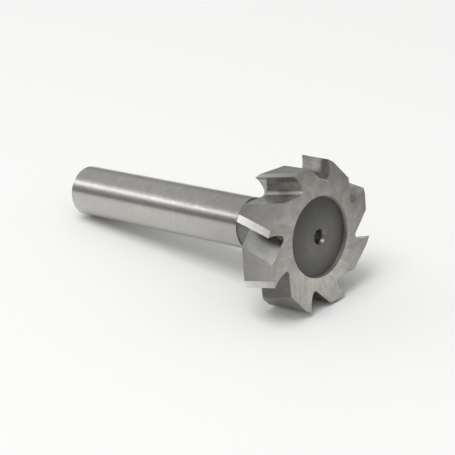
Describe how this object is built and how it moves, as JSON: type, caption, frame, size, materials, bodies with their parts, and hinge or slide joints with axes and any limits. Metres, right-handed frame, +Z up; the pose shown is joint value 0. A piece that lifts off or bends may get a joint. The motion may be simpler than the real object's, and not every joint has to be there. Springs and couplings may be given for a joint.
{
  "type": "woodruff keyseat cutter",
  "caption": "Solid milling cutter with a toothed disc on a plain round shank, for cutting the half-moon seats of Woodruff keys in shafts.",
  "frame": {"origin": "centre of the footprint box, on the surface that the cutter lies on", "axes": "the cutter lies down: the front face of its toothed disc looks to -Y and the shank runs to +Y, dipping 8 degrees; +X is to the right seen from the front; +Z up"},
  "size_m": [0.0272, 0.0654, 0.0274],
  "materials": {
    "high_speed_steel": "ground"
  },
  "bodies": {
    "root": {"keyseat_cutter": "high_speed_steel"}
  },
  "joints": []
}
